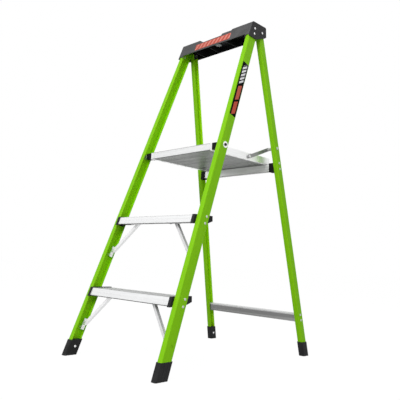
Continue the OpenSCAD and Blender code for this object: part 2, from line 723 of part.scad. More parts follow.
// ---- links -------------------------------------------------------------------------
link_run = norm([link_far_y - link_pin_y, link_far_z - link_pin_z]);
link_angle = atan2(link_far_z - link_pin_z, link_far_y - link_pin_y);
module link() {
    dent = 1.2;
    translate([0, link_pin_y, link_pin_z]) rotate([link_angle, 0, 0]) difference() {
        union() {
            translate([link_in, 0, -link_w / 2]) cube([link_t, link_run, link_w]);
            rod(link_in, link_out, link_w);
            translate([0, link_run, 0]) rod(link_in, link_out, link_w);
        }
        translate([link_out - dent, link_w, -link_w / 4]) cube([link_t, link_run - 2 * link_w, link_w / 2]);
        rod(0, reach, link_pin_d + 2 * hole_gap);
        translate([0, link_run, 0]) rod(0, reach, link_pin_d + 2 * running);
    }
}
module link_left() color(dull) left() link();
module link_right() color(dull) link();
module link_front_rivet() translate([0, link_pin_y, link_pin_z]) {
    rivet(link_out, side_x + seat, link_pin_d);
    rod(side_x + seat, link_in, head_ratio * link_pin_d);
}
module link_front_rivet_left() color(alu) left() link_front_rivet();
module link_front_rivet_right() color(alu) link_front_rivet();
module link_rear_rivets() color(alu) both() {
    intersection() {
        translate([0, link_far_y, link_far_z])
            rod(link_out, rear_plane(link_far_z, rear_rail_w / 2) + 2.5, head_ratio * link_pin_d);
        at_rear(link_far_z) slab(rear_rail_w / 2, 2 * rear_rail_w);
    }
    translate([0, link_far_y, link_far_z]) {
        rod(side_x + 0.6, rear_plane(link_far_z, rear_rail_w / 2) + 1, link_pin_d);
        rod(side_x + 0.6, link_in - seat, head_ratio * link_pin_d);
    }
}
module link_spacers() color(dull) both() difference() {
    intersection() {
        translate([0, link_far_y, link_far_z]) rod(link_out + seat, reach, 2 * link_pin_d);
        at_rear(link_far_z) slab(-reach, rear_rail_w / 2 - rail_wall);
    }
    translate([0, link_far_y, link_far_z]) rod(0, reach, link_pin_d + 2 * hole_gap);
}

// ---- rear bars ---------------------------------------------------------------------
bar_rivet_high = 0.5;       // the bar brackets' upper rivets lie this far above the bar
bar_rivet_step = 25;
bar_rivet_z = [bar_top + bar_rivet_high, bar_top + bar_rivet_high - bar_rivet_step];
brace_end_z = [lower_brace_z + lower_brace_h / 3, lower_brace_z - lower_brace_h / 3];
cup_web = 6;
brace_box = 8;              // closed end of the lower brace inside a rail

module bar_section(h, d) {
    lip = 5;
    difference() {
        square([d, h]);
        translate([bar_wall, bar_wall]) square([d - 2 * bar_wall, h - 2 * bar_wall]);
        translate([d - 2 * bar_wall, bar_wall + lip]) square([3 * bar_wall, h - 2 * (bar_wall + lip)]);
    }
}
module between_rears(off) {
    intersection() {
        at_rear(bar_top) slab(-2 * reach, off);
        left() at_rear(bar_top) slab(-2 * reach, off);
    }
}
module rear_crossbar() color(alu) intersection() {
    translate([0, bar_y, bar_top - crossbar_h]) along_x(-reach, reach) bar_section(crossbar_h, crossbar_d);
    between_rears(-rear_rail_w / 2 - cup_web - seat);
}
module crossbar_bracket() {
    inner = -rear_rail_w / 2;
    half = rear_rail_d / 2 - rail_wall - fit;
    difference() {
        union() {
            intersection() {
                translate([0, bar_y - bar_rim, bar_top - crossbar_h - bar_rim]) along_x(0, reach)
                    square([crossbar_d + 2 * bar_rim, crossbar_h + 2 * bar_rim]);
                at_rear(bar_top) slab(inner - bar_cup, inner);
            }
            for (z = bar_rivet_z) at_rear(z)
                rod(inner - 1, rear_rail_w / 2 - rail_wall, 2 * rivet_d);
            at_rear(bar_top - crossbar_h / 2) translate([inner - 1, -half, -crossbar_h / 2 - bar_rim])
                cube([pad_t, 2 * half, crossbar_h + 3 * bar_rim]);
        }
        intersection() {
            translate([0, bar_y - fit, bar_top - crossbar_h - fit]) along_x(0, reach)
                square([crossbar_d + 2 * fit, crossbar_h + 2 * fit]);
            at_rear(bar_top) slab(-2 * reach, inner - cup_web);
        }
        for (z = bar_rivet_z) at_rear(z) rivet_hole(inner + rivet_grip, rear_rail_w);
    }
}
module crossbar_bracket_left() color(black) left() crossbar_bracket();
module crossbar_bracket_right() color(black) crossbar_bracket();
module crossbar_rivets() color(alu) both() for (z = bar_rivet_z)
    at_rear(z) rivet(rear_rail_w / 2, -rear_rail_w / 2 + rivet_grip + hole_gap, rivet_d);

module lower_brace() color(alu) difference() {
    intersection() {
        rear_slope(lower_brace_z) translate([0, -lower_brace_d / 2, -lower_brace_h / 2]) union() {
            along_x(-reach, reach) bar_section(lower_brace_h, lower_brace_d);
            both() along_x(rx(lower_brace_z) - brace_box, reach)
                square([lower_brace_d, lower_brace_h]);
        }
        between_rears(rear_rail_w / 2 - rail_wall);
    }
    both() for (z = brace_end_z) at_rear(z) rivet_hole(0, rear_rail_w);
}
module lower_brace_rivets() color(alu) both() for (z = brace_end_z)
    at_rear(z) rivet(rear_rail_w / 2, hole_gap, rivet_d);

// ---- feet --------------------------------------------------------------------------
front_foot_rivet_z = 36.5;
rear_foot_rivet_z = 31.5;
foot_rivet_y = 3.5;

module foot_block(w, d) rounded(w + 2 * foot_side, d + 2 * foot_wall, rail_corner + foot_side);
module sole_grooves(y, span) for (k = [-1, 0, 1])
    translate([0, y + k * span / 3 - groove_w / 2, -groove_w / 3]) cube([reach, groove_w, groove_w]);
module front_foot() difference() {
    intersection() {
        at_front(0) translate([0, 0, -foot_h]) linear_extrude(3 * foot_h)
            foot_block(front_rail_w, front_rail_d);
        level(0, foot_h);
    }
    intersection() {
        at_front(0) translate([0, 0, -foot_h]) linear_extrude(3 * foot_h)
            channel(front_rail_w, front_rail_d, fit);
        level(foot_sole, 2 * foot_h);
    }
    at_front(front_foot_rivet_z) translate([0, foot_rivet_y, 0]) rivet_hole(-reach, front_rail_w / 2);
    sole_grooves(fy(0), front_rail_d);
}
module rear_foot() difference() {
    intersection() {
        at_rear(0) translate([0, 0, -foot_h]) linear_extrude(3 * foot_h)
            foot_block(rear_rail_w, rear_rail_d);
        level(0, foot_h);
    }
    intersection() {
        at_rear(0) translate([0, 0, -foot_h]) linear_extrude(3 * foot_h)
            channel(rear_rail_w, rear_rail_d, fit);
        level(foot_sole, 2 * foot_h);
    }
    at_rear(rear_foot_rivet_z) rivet_hole(-reach, rear_rail_w / 2);
    sole_grooves(ry(0), rear_rail_d);
}
module front_foot_left() color(black) left() front_foot();
module front_foot_right() color(black) front_foot();
module rear_foot_left() color(black) left() rear_foot();
module rear_foot_right() color(black) rear_foot();
module front_foot_rivets() color(alu) both() at_front(front_foot_rivet_z) translate([0, foot_rivet_y, 0])
    mirror([1, 0, 0]) rivet(front_rail_w / 2 + foot_side, -front_rail_w / 2, rivet_d);
module rear_foot_rivets() color(alu) both() at_rear(rear_foot_rivet_z)
    mirror([1, 0, 0]) rivet(rear_rail_w / 2 + foot_side, -rear_rail_w / 2, rivet_d);

front_rail_left();
front_rail_right();
rear_rail_left();
rear_rail_right();
top_cap();
cap_rivets();
hinge_pin_left();
hinge_pin_right();
hinge_block_left();
hinge_block_right();
tread_lower();
tread_upper();
step_bracket_lower_left();
step_bracket_lower_right();
step_bracket_upper_left();
step_bracket_upper_right();
step_rivets();
knee_brace_lower_left();
knee_brace_lower_right();
knee_brace_upper_left();
knee_brace_upper_right();
brace_spacers();
brace_rivets();
deck_plank_1();
deck_plank_2();
deck_plank_3();
deck_plank_4();
platform_side_left();
platform_side_right();
platform_rivets();
pivot_block_left();
pivot_block_right();
pivot_bolt_left();
pivot_bolt_right();
pivot_washers();
pivot_nuts();
pivot_spacers();
link_left();
link_right();
link_front_rivet_left();
link_front_rivet_right();
link_rear_rivets();
link_spacers();
rear_crossbar();
crossbar_bracket_left();
crossbar_bracket_right();
crossbar_rivets();
lower_brace();
lower_brace_rivets();
front_foot_left();
front_foot_right();
rear_foot_left();
rear_foot_right();
front_foot_rivets();
rear_foot_rivets();
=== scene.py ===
import json
import math

import bpy
from mathutils import Matrix, Vector


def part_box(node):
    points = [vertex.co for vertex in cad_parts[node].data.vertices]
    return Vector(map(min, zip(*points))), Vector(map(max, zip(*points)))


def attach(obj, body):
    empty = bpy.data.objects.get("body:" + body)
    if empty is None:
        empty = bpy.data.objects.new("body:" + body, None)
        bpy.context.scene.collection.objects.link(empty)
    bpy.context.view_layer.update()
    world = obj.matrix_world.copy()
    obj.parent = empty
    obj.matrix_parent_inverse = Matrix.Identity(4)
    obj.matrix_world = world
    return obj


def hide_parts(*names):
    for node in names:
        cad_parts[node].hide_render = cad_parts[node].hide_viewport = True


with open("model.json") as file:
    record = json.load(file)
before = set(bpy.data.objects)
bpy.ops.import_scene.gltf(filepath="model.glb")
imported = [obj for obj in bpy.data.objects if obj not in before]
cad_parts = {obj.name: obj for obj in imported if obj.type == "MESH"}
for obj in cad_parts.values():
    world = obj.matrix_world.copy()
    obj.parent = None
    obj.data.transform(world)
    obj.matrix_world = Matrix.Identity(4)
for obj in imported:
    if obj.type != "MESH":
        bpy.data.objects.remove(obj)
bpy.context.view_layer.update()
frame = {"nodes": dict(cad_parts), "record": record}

mm = 0.001
record = frame["record"]
bodyOf = {node: body for body, nodes in record["behaviour"]["bodies"].items() for node in nodes}
print("frame loaded:", len(bodyOf), "nodes")

view = {
    "place": (1.6042, -1.6209, 0.4149),
    "yaw": 44.50,           # degrees to the left of straight back
    "pitch": 6.50,          # degrees up
    "roll": 2.565,
    "focalPixels": 514.1,
    "framePixels": 400,
    "sensor": 36.0,
    "farthest": 60,
}


def addCamera():
    bpy.ops.object.camera_add()
    camera = bpy.context.object
    yaw, pitch, roll = (math.radians(view[key]) for key in ("yaw", "pitch", "roll"))
    forward = Vector((-math.sin(yaw) * math.cos(pitch), math.cos(yaw) * math.cos(pitch), math.sin(pitch)))
    side = Vector((math.cos(yaw), math.sin(yaw), 0))
    up = side.cross(forward)
    turn = Matrix.Rotation(-roll, 3, forward)
    axes = Matrix((turn @ side, turn @ up, -forward)).transposed()
    camera.matrix_world = Matrix.Translation(view["place"]) @ axes.to_4x4()
    camera.data.sensor_width = view["sensor"]
    camera.data.lens = view["sensor"] * view["focalPixels"] / view["framePixels"]
    camera.data.clip_end = view["farthest"]
    bpy.context.scene.camera = camera


addCamera()
print("camera placed")

# The four rails' centre lines: where they meet the floor in metres, their lean back and their
# inward splay in degrees, and their channel's width, depth and wall
rails = {
    "front": {"x": 0.280, "y": -0.429368, "lean": 19.75, "splay": 2.85,
              "width": 0.024, "depth": 0.047, "wall": 0.003},
    "rear": {"x": 0.283943, "y": 0.437615, "lean": -11.95, "splay": 3.05,
             "width": 0.025, "depth": 0.033, "wall": 0.003},
}


def railFrame(rail, z, side=1):
    # axes of a rail at a height: x to its outer face, y to its back, z up along it
    lean, splay = math.radians(rail["lean"]), math.radians(rail["splay"])
    tilt = math.atan(math.tan(lean) * math.cos(splay))
    outward = Vector((side * math.cos(splay), 0, math.sin(splay)))
    upward = Vector((-side * math.sin(splay) * math.cos(tilt), math.sin(tilt),
                     math.cos(splay) * math.cos(tilt)))
    back = upward.cross(outward)
    axes = Matrix((outward, back, upward)).transposed().to_4x4()
    place = Vector((side * (rail["x"] - z * math.tan(splay)), rail["y"] + z * math.tan(lean), z))
    return Matrix.Translation(place) @ axes


def behindCentre(rail, y, z):
    # how far a place lies behind a rail's centre line, square to the rail
    lean = math.radians(rail["lean"])
    return (y - (rail["y"] + z * math.tan(lean))) * math.cos(lean)


noiseMiddle = (0.3, 0.7)        # the values between which most of a noise lies


class Field:
    # one output socket, with arithmetic that adds Math nodes
    def __init__(self, tree, socket):
        self.tree = tree
        self.socket = socket

    def math(self, operation, *others):
        return self.tree.node("ShaderNodeMath", {"operation": operation}, (self, *others))

    def __add__(self, other):
        return self.math("ADD", other)

    def __radd__(self, other):
        return self.math("ADD", other)

    def __sub__(self, other):
        return self.math("SUBTRACT", other)

    def __rsub__(self, other):
        return self.tree.node("ShaderNodeMath", {"operation": "SUBTRACT"}, (other, self))

    def __mul__(self, other):
        return self.math("MULTIPLY", other)

    def __rmul__(self, other):
        return self.math("MULTIPLY", other)

    def above(self, low, high):
        # 0 below the low value, 1 above the high one, smooth between them
        return self.tree.ramp(self, low, high)

    def within(self, low, high, edge):
        return self.above(low, low + edge) * (1 - self.above(high, high + edge))

    def spread(self):
        return self.above(*noiseMiddle)

    def blend(self, other, share):
        return self * (1 - share) + other * share


class Tree:
    # the nodes of a material or of the world
    def __init__(self, owner):
        owner.use_nodes = True
        self.owner = owner
        self.nodes = owner.node_tree.nodes
        self.links = owner.node_tree.links
        self.nodes.clear()

    def node(self, kind, settings=None, values=(), output=0):
        made = self.nodes.new(kind)
        for key, value in (settings or {}).items():
            setattr(made, key, value)
        pairs = values.items() if isinstance(values, dict) else enumerate(values)
        for key, value in pairs:
            if isinstance(value, Field):
                self.links.new(value.socket, made.inputs[key])
            else:
                made.inputs[key].default_value = value
        return Field(self, made.outputs[output]) if made.outputs else None

    def ramp(self, value, low, high):
        return self.node("ShaderNodeMapRange", {"interpolation_type": "SMOOTHSTEP"},
                         {"Value": value, "From Min": low, "From Max": high}, "Result")

    def mix(self, factor, first, second):
        values = {0: factor, 6: first, 7: second}
        return self.node("ShaderNodeMix", {"data_type": "RGBA"}, {
            key: (*value, 1) if isinstance(value, tuple) else value for key, value in values.items()}, 2)

    def place(self, scale=(1, 1, 1)):
        coords = self.node("ShaderNodeTexCoord", output="Object")
        return self.node("ShaderNodeMapping", values={"Vector": coords, "Scale": scale})

    def axes(self):
        coords = self.node("ShaderNodeTexCoord", output="Object")
        return [self.node("ShaderNodeSeparateXYZ", values=[coords], output=letter) for letter in "XYZ"]

    def vector(self, x, y, z):
        return self.node("ShaderNodeCombineXYZ", values=[x, y, z])

    def noise(self, place, scale, detail=2.0, rough=0.5):
        return self.node("ShaderNodeTexNoise", values={
            "Vector": place, "Scale": scale, "Detail": detail, "Roughness": rough})

    def cells(self, place, scale):
        return self.node("ShaderNodeTexVoronoi", values={"Vector": place, "Scale": scale}, output="Distance")

    def bump(self, height, distance, strength=1.0):
        return self.node("ShaderNodeBump", values={
            "Height": height, "Distance": distance, "Strength": strength})

    def surface(self, **values):
        shader = self.node("ShaderNodeBsdfPrincipled", values={
            key.replace("_", " "): value for key, value in values.items()})
        self.node("ShaderNodeOutputMaterial", values={"Surface": shader})
        return self.owner


def shade(colour, amount):
    return tuple(min(1.0, value * amount) for value in colour)


def distance(first, second):
    return (first.math("POWER", 2.0) + second.math("POWER", 2.0)).math("SQRT")


fibreglass = {
    "colour": (0.230, 0.588, 0.003),
    "deep": (0.206, 0.542, 0.002),
    "pale": (0.270, 0.632, 0.010),
    "insideFront": (0.335, 0.780, 0.004),   # the inner side of the channels, painted paler as light that lifts the shade inside them
    "insideRear": (0.520, 0.920, 0.010),
    "rub": (0.330, 0.640, 0.060),       # where shoes and hands have rubbed it
    "strand": 900.0,                    # strands per metre across the rail
    "roving": 144.0,                    # and the bundles that they lie in
    "stretch": 0.035,                   # how far a strand is drawn out along the rail
    "rovingShare": 0.6,                 # how much the bundles show against the strands
    "strandRange": (0.30, 0.60),
    "veil": {"scale": 240.0, "range": (0.55, 0.80), "share": 0.35},     # the fine mat at the surface
    "cloud": {"scale": 9.0, "range": (0.35, 0.75), "share": 0.20},      # broad paler patches
    "scuff": {"scale": 160.0, "range": (0.60, 0.72), "patches": (0.45, 0.65), "share": 0.35},
    "litInsideShare": 0.9,                   # how fully the inside takes that painted light
    "edge": 0.0003,                     # width of the step to the painted-light inside
    "roughness": (0.44, 0.58),
    "gloss": 0.12,
    "relief": 0.00003,
    "veilRelief": 0.4,                  # the mat's share of it
}


def fibreglassFinish(name, rail, litInside):
    t = Tree(bpy.data.materials.new(name))
    x, y, z = t.axes()
    veilTone, cloudTone, scuffTone = (fibreglass[key] for key in ("veil", "cloud", "scuff"))
    across = x.math("ABSOLUTE") - (rail["x"] - z * math.tan(math.radians(rail["splay"])))
    depth = behindCentre(rail, y, z)
    drawn = t.vector(across, depth, z * fibreglass["stretch"])
    strands = t.noise(drawn, fibreglass["strand"], detail=3.0)
    rovings = t.noise(drawn, fibreglass["roving"])
    veil = t.noise(t.place(), veilTone["scale"], detail=4.0, rough=0.6)
    cloud = t.noise(t.place(), cloudTone["scale"])
    glass = strands.blend(rovings, fibreglass["rovingShare"]).above(*fibreglass["strandRange"])
    colour = t.mix(glass, fibreglass["deep"], fibreglass["colour"])
    colour = t.mix(veil.above(*veilTone["range"]) * veilTone["share"], colour, fibreglass["pale"])
    colour = t.mix(cloud.above(*cloudTone["range"]) * cloudTone["share"], colour, fibreglass["pale"])
    scuffs = t.noise(drawn, scuffTone["scale"], detail=4.0, rough=0.65).above(*scuffTone["range"])
    scuffs = scuffs * cloud.above(*scuffTone["patches"])
    colour = t.mix(scuffs * scuffTone["share"], colour, fibreglass["rub"])
    flange = rail["depth"] / 2 - rail["wall"]
    web = rail["width"] / 2 - rail["wall"]
    edge = fibreglass["edge"]
    # the inside of each channel gets a paler green: painted light
    inside = (1 - depth.math("ABSOLUTE").above(flange, flange + edge)) * (1 - across.above(web, web + edge))
    colour = t.mix(inside * fibreglass["litInsideShare"], colour, litInside)
    low, high = fibreglass["roughness"]
    relief = t.bump(strands.blend(veil, fibreglass["veilRelief"]), fibreglass["relief"])
    return t.surface(Base_Color=colour, Roughness=veil.spread() * (high - low) + low,
                     Specular_IOR_Level=fibreglass["gloss"], Normal=relief)


moulding = {
    "grain": 1500.0, "fine": 2550.0,            # the coarse and the fine grain, per metre
    "fineRelief": 0.3, "fineShare": 0.5,        # the fine grain's share of the relief and the roughness
    "flow": 26.0,                               # broad shades left by the flow of the plastic
    "scratch": {"scale": 700.0, "stretch": (1, 0.6, 0.05), "range": (0.64, 0.76)},
    "rubbed": {"scale": 18.0, "range": (0.50, 0.70)},       # the patches that have scratches
    "scratchGain": 2.6, "scratchLift": 0.03,    # how much paler a scratch is than the light shade
    "grainDepth": 0.00010,
    "grainStrength": 0.55,
    "roughness": (0.48, 0.64),
}

capTone = {
    "cheekX": 0.2205,               # past this lie the cap's ends, painted darker as shade on these side faces
    "shadedCheek": (0.028, 0.028, 0.029), "cheekPale": 1.2,       # and how much paler its flow marks are
    "toolRing": (0.0, 0.0907, 0.0134),                      # x, y and radius of each bore
    "toolHoles": ((0.088, 0.0897, 0.0064), (0.088, 0.1247, 0.0064)),
    "wearAndGlint": (0.55, 0.55, 0.56), "glintPale": 1.1,            # the walls of the bores, painted paler as a highlight of the light from above
    "wall": 0.0030,
    "shadedHollow": (0.0110, 0.0110, 0.0115), "hollowPale": 1.3,  # the inside, in from the outer faces, painted darker as shade
    "frontFace": 0.0272,            # the front face lies this far before the rails' centre line
    "edge": 0.0006,
}


def capColour(t, colour, flow, fine):
    x, y, z = t.axes()
    edge, wall = capTone["edge"], capTone["wall"]
    # the cap's ends get a darker colour: painted shade
    ends = x.math("ABSOLUTE").above(capTone["cheekX"], capTone["cheekX"] + edge)
    shadedCheek = t.mix(flow.spread(), capTone["shadedCheek"], shade(capTone["shadedCheek"], capTone["cheekPale"]))
    colour = t.mix(ends, colour, shadedCheek)
    back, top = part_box("top_cap")[1][1:]
    depth = behindCentre(rails["front"], y, z) + capTone["frontFace"]
    # the inside of the cap gets a darker colour: painted shade
    shadedHollow = depth.above(wall, wall + edge) * (1 - y.above(back - wall, back - wall + edge))
    shadedHollow = shadedHollow * (1 - z.above(top - wall, top - wall + edge)) * (1 - ends)
    hollowShade = t.mix(flow.spread(), capTone["shadedHollow"], shade(capTone["shadedHollow"], capTone["hollowPale"]))
    colour = t.mix(shadedHollow, colour, hollowShade)
    # the walls of the bores get a paler colour: a painted highlight
    wearAndGlint = t.mix(fine.spread(), capTone["wearAndGlint"], shade(capTone["wearAndGlint"], capTone["glintPale"]))
    for boreX, boreY, radius in (capTone["toolRing"], *capTone["toolHoles"]):
        away = distance(x - boreX, y - boreY)
        colour = t.mix(1 - away.above(radius, radius + edge), colour, wearAndGlint)
    return colour


def mouldedFinish(name, dark, light, scuff, gloss, capped=False):
    t = Tree(bpy.data.materials.new(name))
    place = t.place()
    scratch, rubbed = moulding["scratch"], moulding["rubbed"]
    grain = t.cells(place, moulding["grain"])
    fine = t.noise(place, moulding["fine"], detail=3.0)
    flow = t.noise(place, moulding["flow"], detail=3.0)
    scratches = t.noise(t.place(scratch["stretch"]), scratch["scale"]).above(*scratch["range"])
    marks = scratches * t.noise(place, rubbed["scale"]).above(*rubbed["range"]) * scuff
    colour = t.mix(flow.spread(), dark, light)
    pale = tuple(value * moulding["scratchGain"] + moulding["scratchLift"] for value in light)
    colour = t.mix(marks, colour, pale)
    if capped:
        colour = capColour(t, colour, flow, fine)
    low, high = moulding["roughness"]
    roughness = flow.blend(fine, moulding["fineShare"]).spread() * (high - low) + low
    relief = t.bump(grain.blend(fine, moulding["fineRelief"]), moulding["grainDepth"],
                    moulding["grainStrength"])
    return t.surface(Base_Color=colour, Roughness=roughness, Specular_IOR_Level=gloss, Normal=relief)


extrusion = {
    "line": 1400.0, "rib": 182.0,       # fine and broad die lines per metre
    "ribShare": 0.5, "ribShade": 0.88,
    "haze": {"scale": 14.0, "range": (0.40, 0.75), "share": 0.25, "shade": 0.86},
    "streak": 44.0, "streakRange": (0.42, 0.58),        # broad streaks per metre in the bands of painted shade
    "dim": 0.52,                        # how dark they are
    "lineShare": 0.3,                   # and how much the die lines show in them
    "step": 0.0003,                     # width of the step at a band's edge
    "past": 0.01,                       # how far a band reaches past the solid
    "relief": 0.00004,
    "roughness": (0.30, 0.46),
    "hazeRoughness": 0.4,               # the haze's share of the change in roughness
}


def extrudedFinish(name, colour, metal, stretch=(0.02, 1, 1), bands=()):
    # a band is lowest height, highest height, colour, metal, the slope of its heights toward the back, and
    # the y where they hold; its colour is painted shade
    t = Tree(bpy.data.materials.new(name))
    haziness = extrusion["haze"]
    drawn = t.place(stretch)
    lines = t.noise(drawn, extrusion["line"], detail=3.0)
    ribs = t.noise(drawn, extrusion["rib"])
    haze = t.noise(t.place(), haziness["scale"], detail=3.0)
    tone = lines.blend(ribs, extrusion["ribShare"])
    base = t.mix(tone.spread(), shade(colour, extrusion["ribShade"]), colour)
    base = t.mix(haze.above(*haziness["range"]) * haziness["share"], base, shade(colour, haziness["shade"]))
    if bands:
        y, z = t.axes()[1:]
        streaks = t.noise(drawn, extrusion["streak"]).above(*extrusion["streakRange"])
        streaks = streaks.blend(tone, extrusion["lineShare"])
    step = extrusion["step"]
    for lowest, highest, tint, shine, slope, middle in bands:
        height = z - (y - middle) * slope
        inBand = height.within(lowest - step, highest - step, 2 * step)
        bandShade = t.mix(streaks, shade(tint, extrusion["dim"]), tint)
        base = t.mix(inBand, base, bandShade)
        metal = inBand * (shine - metal) + metal
    low, high = extrusion["roughness"]
    roughness = tone.blend(haze, extrusion["hazeRoughness"]).spread() * (high - low) + low
    return t.surface(Base_Color=base, Metallic=metal, Roughness=roughness,
                     Normal=t.bump(lines, extrusion["relief"]))


# Tones of the extrusions: top and under are painted shade, and skin is how far in from the top or the
# underside that painted shade reaches
treadTone = {
    "face": (0.91, 0.915, 0.92), "metal": 0.30,
    "top": (0.58, 0.585, 0.58), "topSkin": 0.0009, "topMetal": 0.30,
    "under": (0.05, 0.05, 0.05), "underSkin": 0.0026, "underMetal": 0.30, "slope": 0.074,
}

plankTone = {
    "face": (0.92, 0.925, 0.93), "metal": 0.35,
    "top": (0.66, 0.665, 0.66), "topSkin": 0.0009, "topMetal": 0.35,
    "under": (0.262, 0.268, 0.262), "underSkin": 0.0004, "underMetal": 0.62, "slope": 0.0,
}

barTone = {
    "face": (0.97, 0.98, 0.965), "metal": 0.78,
    "top": (0.34, 0.34, 0.335), "topSkin": 0.0014, "topMetal": 0.50,
    "under": (0.42, 0.42, 0.415), "underSkin": 0.0014, "underMetal": 0.50, "slope": 0.0,
}

lowerBarTone = {
    "face": (0.66, 0.66, 0.665), "metal": 0.30,
    "under": (0.40, 0.40, 0.40), "underSkin": 0.0300, "underMetal": 0.30, "slope": 0.0,
}


def bandedFinish(name, node, tone):
    low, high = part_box(node)
    past = extrusion["past"]
    # bands of painted shade along the underside and, where given, the top
    bands = [(low[2] - past, low[2] + tone["underSkin"], tone["under"], tone["underMetal"],
              tone["slope"], low[1])]
    if "top" in tone:
        bands.append((high[2] - tone["topSkin"], high[2] + past, tone["top"], tone["topMetal"], 0.0, 0.0))
    return extrudedFinish(name, tone["face"], tone["metal"], bands=bands)


plating = {
    "spangle": {"scale": 420.0, "range": (0.10, 0.80), "shade": 0.86},
    "haze": {"scale": 60.0, "range": (0.50, 0.80), "share": 0.4, "shade": 0.76},
    "roughnessSpan": 0.14,
    "relief": 0.00006,
}

pinTone = {
    "bright": 0.0046,               # radius of the bright middle of a hinge pin's head
    "edge": 0.0006,
    "rim": (0.050, 0.050, 0.052), "rimPale": 1.4,
}


def platedFinish(name, colour, roughness, metal, pin=None):
    # the rim of a pin's head is blackened
    t = Tree(bpy.data.materials.new(name))
    speckle, film = plating["spangle"], plating["haze"]
    spangle = t.cells(t.place(), speckle["scale"])
    haze = t.noise(t.place(), film["scale"], detail=4.0)
    base = t.mix(spangle.above(*speckle["range"]), shade(colour, speckle["shade"]), colour)
    base = t.mix(haze.above(*film["range"]) * film["share"], base, shade(colour, film["shade"]))
    if pin:
        y, z = t.axes()[1:]
        low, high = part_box(pin)
        axisY, axisZ = (low[1] + high[1]) / 2, (low[2] + high[2]) / 2
        away = distance(y - axisY, z - axisZ)
        rim = away.above(pinTone["bright"], pinTone["bright"] + pinTone["edge"])
        black = t.mix(haze.spread(), pinTone["rim"], shade(pinTone["rim"], pinTone["rimPale"]))
        base = t.mix(rim, base, black)
    return t.surface(Base_Color=base, Metallic=metal,
                     Roughness=haze.spread() * plating["roughnessSpan"] + roughness,
                     Normal=t.bump(haze, plating["relief"]))


strips = {
    "thick": 0.35, "corner": 3.0, "cornerSteps": 5,     # lengths in millimetres, heights in metres
    "edge": 0.12, "edgeAngle": 60, "smoothAngle": 40,
    "railLow": 1.006, "railHigh": 1.260,        # heights of the rail strip's ends
    "railWidth": 37.0, "railShift": 0.8,        # its width, and how far it sits behind the centre line
    "capWidth": 223.0, "capHeight": 34.0, "capShift": -8.5, "capMiddle": 1.4330,
}

railMarks = {
    # each mark: lowest and highest height, half its width across the strip, and its slant
    "marks": (
        {"low": 1.014, "high": 1.071, "half": 0.0098, "slant": 0.35, "colour": (0.60, 0.115, 0.070)},
        {"low": 1.081, "high": 1.147, "half": 0.0098, "slant": 0.35, "colour": (0.60, 0.140, 0.090)},
        {"low": 1.162, "high": 1.250, "half": 0.0110, "slant": 0.60, "colour": (0.84, 0.85, 0.86),
         "pitch": 0.0176, "share": 0.62},       # dashes: their spacing, and how much of it each fills
    ),
    "shift": 0.0014,                            # the marks sit this far behind the centre line
    "edge": 0.0007,
}

capMarks = {
    "pitch": 0.0262, "share": 0.42, "slant": 0.45,      # slanted hatching
    "margin": 0.0040,
    "edge": 0.0007,
    "colour": (0.70, 0.265, 0.215),
}


def railBars(t, base):
    y, z = t.axes()[1:]
    edge = railMarks["edge"]
    depth = behindCentre(rails["front"], y, z) - railMarks["shift"]
    for mark in railMarks["marks"]:
        along = z - depth * mark["slant"]
        mask = along.within(mark["low"], mark["high"], edge)
        mask = mask * (1 - depth.math("ABSOLUTE").above(mark["half"], mark["half"] + edge))
        if "pitch" in mark:
            step = along.math("DIVIDE", mark["pitch"]).math("FRACT")
            mask = mask * (1 - step.above(mark["share"], mark["share"] + edge / mark["pitch"]))
        base = t.mix(mask, base, mark["colour"])
    return base


def capHatch(t, base):
    x, _, z = t.axes()
    edge = capMarks["edge"]
    step = (x - z * capMarks["slant"]).math("DIVIDE", capMarks["pitch"]).math("FRACT")
    mask = step.within(0, capMarks["share"], edge / capMarks["pitch"])
    half = strips["capHeight"] * mm / 2 - capMarks["margin"]
    mask = mask * (1 - (z - strips["capMiddle"]).math("ABSOLUTE").above(half, half + edge))
    return t.mix(mask, base, capMarks["colour"])


vinyl = {
    "peel": 600.0, "peelShade": 0.92,
    "wear": {"scale": 75.0, "range": (0.62, 0.74), "share": 0.25, "gain": 0.8, "lift": 0.004},
    "roughness": (0.50, 0.62),
    "gloss": 0.03,
    "relief": 0.00003,
}


def vinylFinish(name, colour, pattern):
    t = Tree(bpy.data.materials.new(name))
    wearing = vinyl["wear"]
    peel = t.noise(t.place(), vinyl["peel"])
    wear = t.noise(t.place(), wearing["scale"], detail=5.0, rough=0.7)
    base = pattern(t, t.mix(peel.spread(), shade(colour, vinyl["peelShade"]), colour))
    wearAndGlint = tuple(value * wearing["gain"] + wearing["lift"] for value in colour)
    base = t.mix(wear.above(*wearing["range"]) * wearing["share"], base, wearAndGlint)
    low, high = vinyl["roughness"]
    return t.surface(Base_Color=base, Roughness=wear.spread() * (high - low) + low,
                     Specular_IOR_Level=vinyl["gloss"], Normal=t.bump(peel, vinyl["relief"]))


